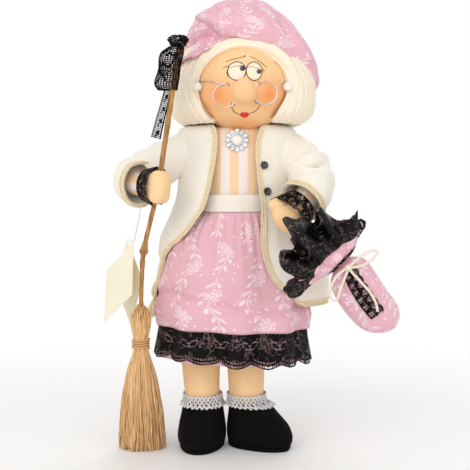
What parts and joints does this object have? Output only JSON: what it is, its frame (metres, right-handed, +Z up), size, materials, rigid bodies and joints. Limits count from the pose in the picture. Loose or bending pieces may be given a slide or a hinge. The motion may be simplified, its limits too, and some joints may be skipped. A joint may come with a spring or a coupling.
{
  "type": "standing cloth doll",
  "caption": "Stuffed cloth doll of an old woman in cap, coat and lace skirt, with a straw broom and a drawstring bag; head, arms, broom and bag turn.",
  "frame": {"origin": "on the floor, under the middle of the doll's box without the hanging cards and cord ends", "axes": "+Z up from the soles, -Y out of the face, +X to the doll's left hand"},
  "size_m": [0.2842, 0.1692, 0.441],
  "materials": {
    "skin_cotton": "plain cotton, matte",
    "striped_cotton": "cotton with peach and white stripes, matte",
    "cream_felt": "soft fleece felt, matte",
    "pink_cotton": "cotton print with a pale floral pattern, matte",
    "pink_lining": "plain cotton, matte",
    "black_lace": "open lace",
    "white_lace": "open lace",
    "black_felt": "felt, matte",
    "cream_ribbon": "woven ribbon",
    "white_wool": "combed fibre, soft sheen",
    "straw": "dry straw",
    "twig": "peeled twig",
    "cream_cord": "twisted cord",
    "paper": "card, stands in for paper",
    "dowel_wood": "turned wood",
    "pearl": "pearl gloss",
    "black_plastic": "gloss",
    "silver": "polished"
  },
  "bodies": {
    "doll": {"trunk": "striped_cotton", "neck_dowel": "dowel_wood", "leg_right": "skin_cotton", "leg_left": "skin_cotton", "leg_dowel_right": "dowel_wood", "leg_dowel_left": "dowel_wood", "shoe_right": "black_felt", "shoe_left": "black_felt", "sole_right": "black_felt", "sole_left": "black_felt", "sock_lace_right": "white_lace", "sock_lace_left": "white_lace", "waistband": "cream_ribbon", "skirt": "pink_cotton", "skirt_lace": "black_lace", "petticoat": "pink_lining", "coat": "cream_felt", "coat_button_upper": "black_plastic", "coat_button_lower": "black_plastic", "brooch_setting": "silver", "brooch_stone": "pearl"},
    "head": {"head": "skin_cotton", "nose": "skin_cotton", "hair": "white_wool", "cap": "pink_cotton", "spectacles": "silver", "earring_right": "pearl", "earring_left": "pearl"},
    "right_arm": {"arm_right": "striped_cotton", "sleeve_right": "cream_felt", "cuff_lace_right": "black_lace", "hand_right": "skin_cotton"},
    "left_arm": {"arm_left": "striped_cotton", "sleeve_left": "cream_felt", "cuff_lace_left": "black_lace", "hand_left": "skin_cotton"},
    "broom": {"broom_handle": "twig", "broom_straws": "straw", "broom_binding": "straw", "broom_bow_puff": "black_lace", "broom_bow_loop": "black_lace", "broom_bow_tail": "black_lace"},
    "bag": {"bag_sack": "pink_cotton", "bag_mouth": "pink_cotton", "bag_lace": "black_lace", "bag_band": "black_lace", "bag_strip": "black_lace", "bag_cord_knot": "cream_cord", "bag_cord_upper": "cream_cord", "bag_cord_lower": "cream_cord", "bag_cord_tail": "cream_cord"},
    "tags": {"tag_thread": "cream_cord", "tag_front": "paper", "tag_back": "paper"}
  },
  "joints": [
    {"name": "neck_turn", "type": "hinge", "parent": "doll", "child": "head", "pos_m": [-0.00672, 0.00336, 0.3125], "axis": [0, 0, 1], "range_deg": [-12, 12]},
    {"name": "right_shoulder", "type": "hinge", "parent": "doll", "child": "right_arm", "pos_m": [-0.06212, 0.01736, 0.3], "axis": [-1, 0, 0], "range_deg": [0, 15]},
    {"name": "left_shoulder", "type": "hinge", "parent": "doll", "child": "left_arm", "pos_m": [0.03868, 0.01736, 0.3], "axis": [-1, 0, 0], "range_deg": [0, 40]},
    {"name": "broom_turn", "type": "hinge", "parent": "right_arm", "child": "broom", "pos_m": [-0.08516, -0.03712, 0.25854], "axis": [0.1657, -0.1511, 0.9745], "range_deg": [-25, 25]},
    {"name": "bag_swing", "type": "hinge", "parent": "left_arm", "child": "bag", "pos_m": [0.04151, -0.04112, 0.23684], "axis": [0, -1, 0], "range_deg": [0, 25]},
    {"name": "tag_swing", "type": "hinge", "parent": "right_arm", "child": "tags", "pos_m": [-0.10312, -0.02064, 0.2432], "axis": [0, 1, 0], "range_deg": [0, 20]}
  ]
}
